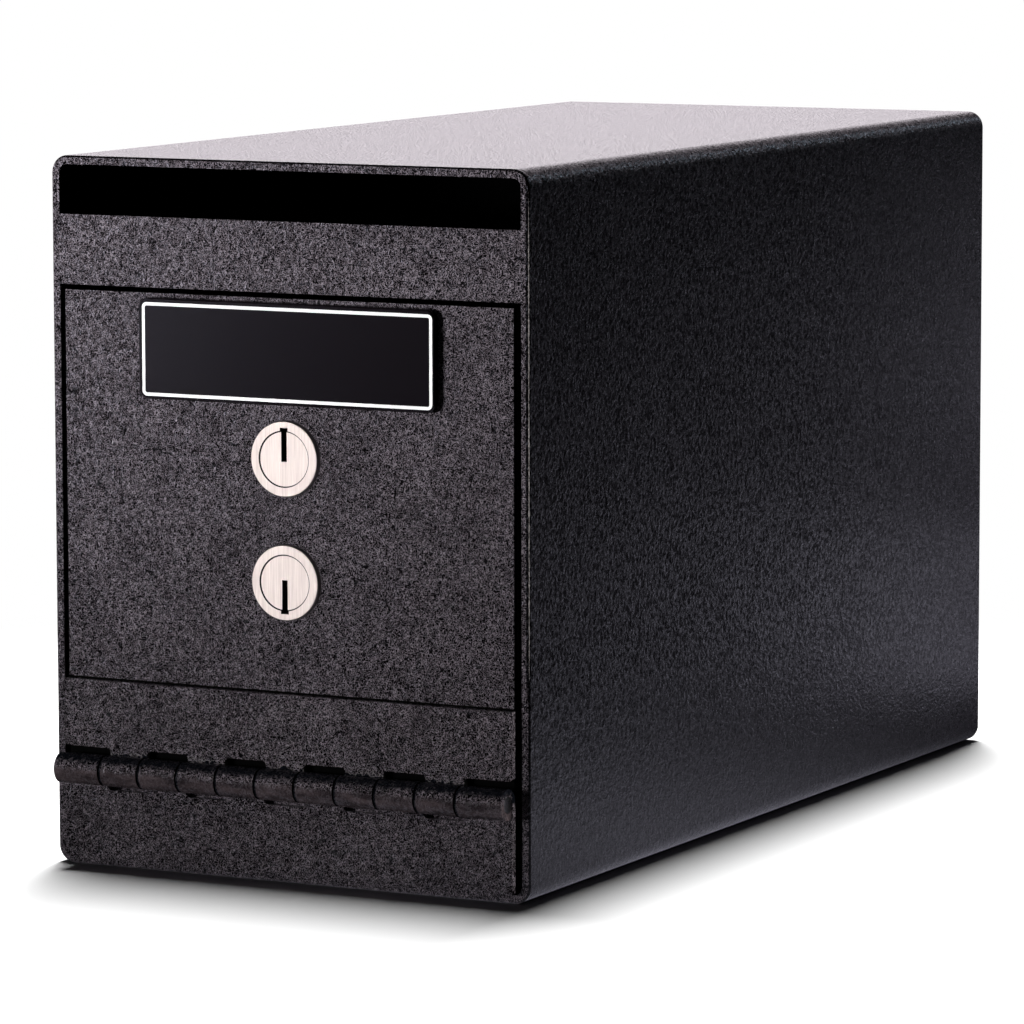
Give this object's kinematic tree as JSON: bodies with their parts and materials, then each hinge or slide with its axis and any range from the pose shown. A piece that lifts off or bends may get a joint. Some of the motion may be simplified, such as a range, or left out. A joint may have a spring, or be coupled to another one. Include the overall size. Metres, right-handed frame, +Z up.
{
  "type": "depository safe",
  "caption": "Narrow deep steel depository safe with a drop slot across the top, a drop-down door on a continuous hinge, key locks and a bare nameplate.",
  "frame": {"origin": "on the ground, below the middle of the whole safe's outline", "axes": "+Z up, the door and the slot face -Y, +X to the right seen from the front"},
  "size_m": [0.152, 0.3268, 0.203],
  "materials": {
    "powder_coat": "dark charcoal wrinkled powder coat",
    "steel_pin": "painted over, worn at the end",
    "nameplate_black": "satin black with a plain white border line",
    "lock_nickel": "satin nickel, brushed vertically",
    "case_zinc": "die-cast zinc",
    "steel_cover": "zinc-plated sheet",
    "steel_screws": "zinc plated",
    "steel_bolt": "machined",
    "lever_brass": "stamped"
  },
  "bodies": {
    "safe_body": {"body_shell": "powder_coat", "back_panel": "powder_coat", "upper_front_panel": "powder_coat", "lower_front_panel": "powder_coat", "left_jamb_bar": "powder_coat", "right_jamb_bar": "powder_coat", "deposit_chute": "powder_coat", "anti_fish_baffle": "powder_coat", "hinge_lower_leaf": "powder_coat", "hinge_pin": "steel_pin"},
    "door": {"door_panel": "powder_coat", "hinge_upper_leaf": "powder_coat", "nameplate": "nameplate_black", "upper_lock_nose": "lock_nickel", "upper_lock_case": "case_zinc", "upper_lock_cover": "steel_cover", "upper_lock_screws": "steel_screws", "lower_lock_nose": "lock_nickel", "lower_lock_case": "case_zinc", "lower_lock_cover": "steel_cover", "lower_lock_screws": "steel_screws"},
    "upper_lock_drum": {"upper_lock_drum": "lock_nickel"},
    "upper_lock_bolt": {"upper_lock_bolt": "steel_bolt"},
    "upper_lock_levers": {"upper_lock_levers": "lever_brass"},
    "lower_lock_drum": {"lower_lock_drum": "lock_nickel"},
    "lower_lock_bolt": {"lower_lock_bolt": "steel_bolt"},
    "lower_lock_levers": {"lower_lock_levers": "lever_brass"}
  },
  "joints": [
    {"name": "door_swing", "type": "hinge", "parent": "safe_body", "child": "door", "pos_m": [0, -0.159, 0.0284], "axis": [1, 0, 0], "range_deg": [0, 100]},
    {"name": "upper_lock_key_turn", "type": "hinge", "parent": "door", "child": "upper_lock_drum", "pos_m": [0, -0.1446, 0.1202], "axis": [0, -1, 0], "range_deg": [0, 360]},
    {"name": "upper_lock_bolt_throw", "type": "slide", "parent": "door", "child": "upper_lock_bolt", "axis": [1, 0, 0], "range_m": [0, 0.009]},
    {"name": "upper_lock_lever_lift", "type": "hinge", "parent": "door", "child": "upper_lock_levers", "pos_m": [-0.017, -0.1376, 0.1112], "axis": [0, -1, 0], "range_deg": [0, 3.5]},
    {"name": "lower_lock_key_turn", "type": "hinge", "parent": "door", "child": "lower_lock_drum", "pos_m": [0, -0.1446, 0.0854], "axis": [0, -1, 0], "range_deg": [0, 360]},
    {"name": "lower_lock_bolt_throw", "type": "slide", "parent": "door", "child": "lower_lock_bolt", "axis": [-1, 0, 0], "range_m": [0, 0.009]},
    {"name": "lower_lock_lever_lift", "type": "hinge", "parent": "door", "child": "lower_lock_levers", "pos_m": [0.017, -0.1376, 0.0944], "axis": [0, -1, 0], "range_deg": [0, 3.5]}
  ],
  "couplings": [
    {"joint": "upper_lock_bolt_throw", "follows": "upper_lock_key_turn", "m_per_rad": 0.0014324},
    {"joint": "lower_lock_bolt_throw", "follows": "lower_lock_key_turn", "m_per_rad": 0.0014324}
  ]
}
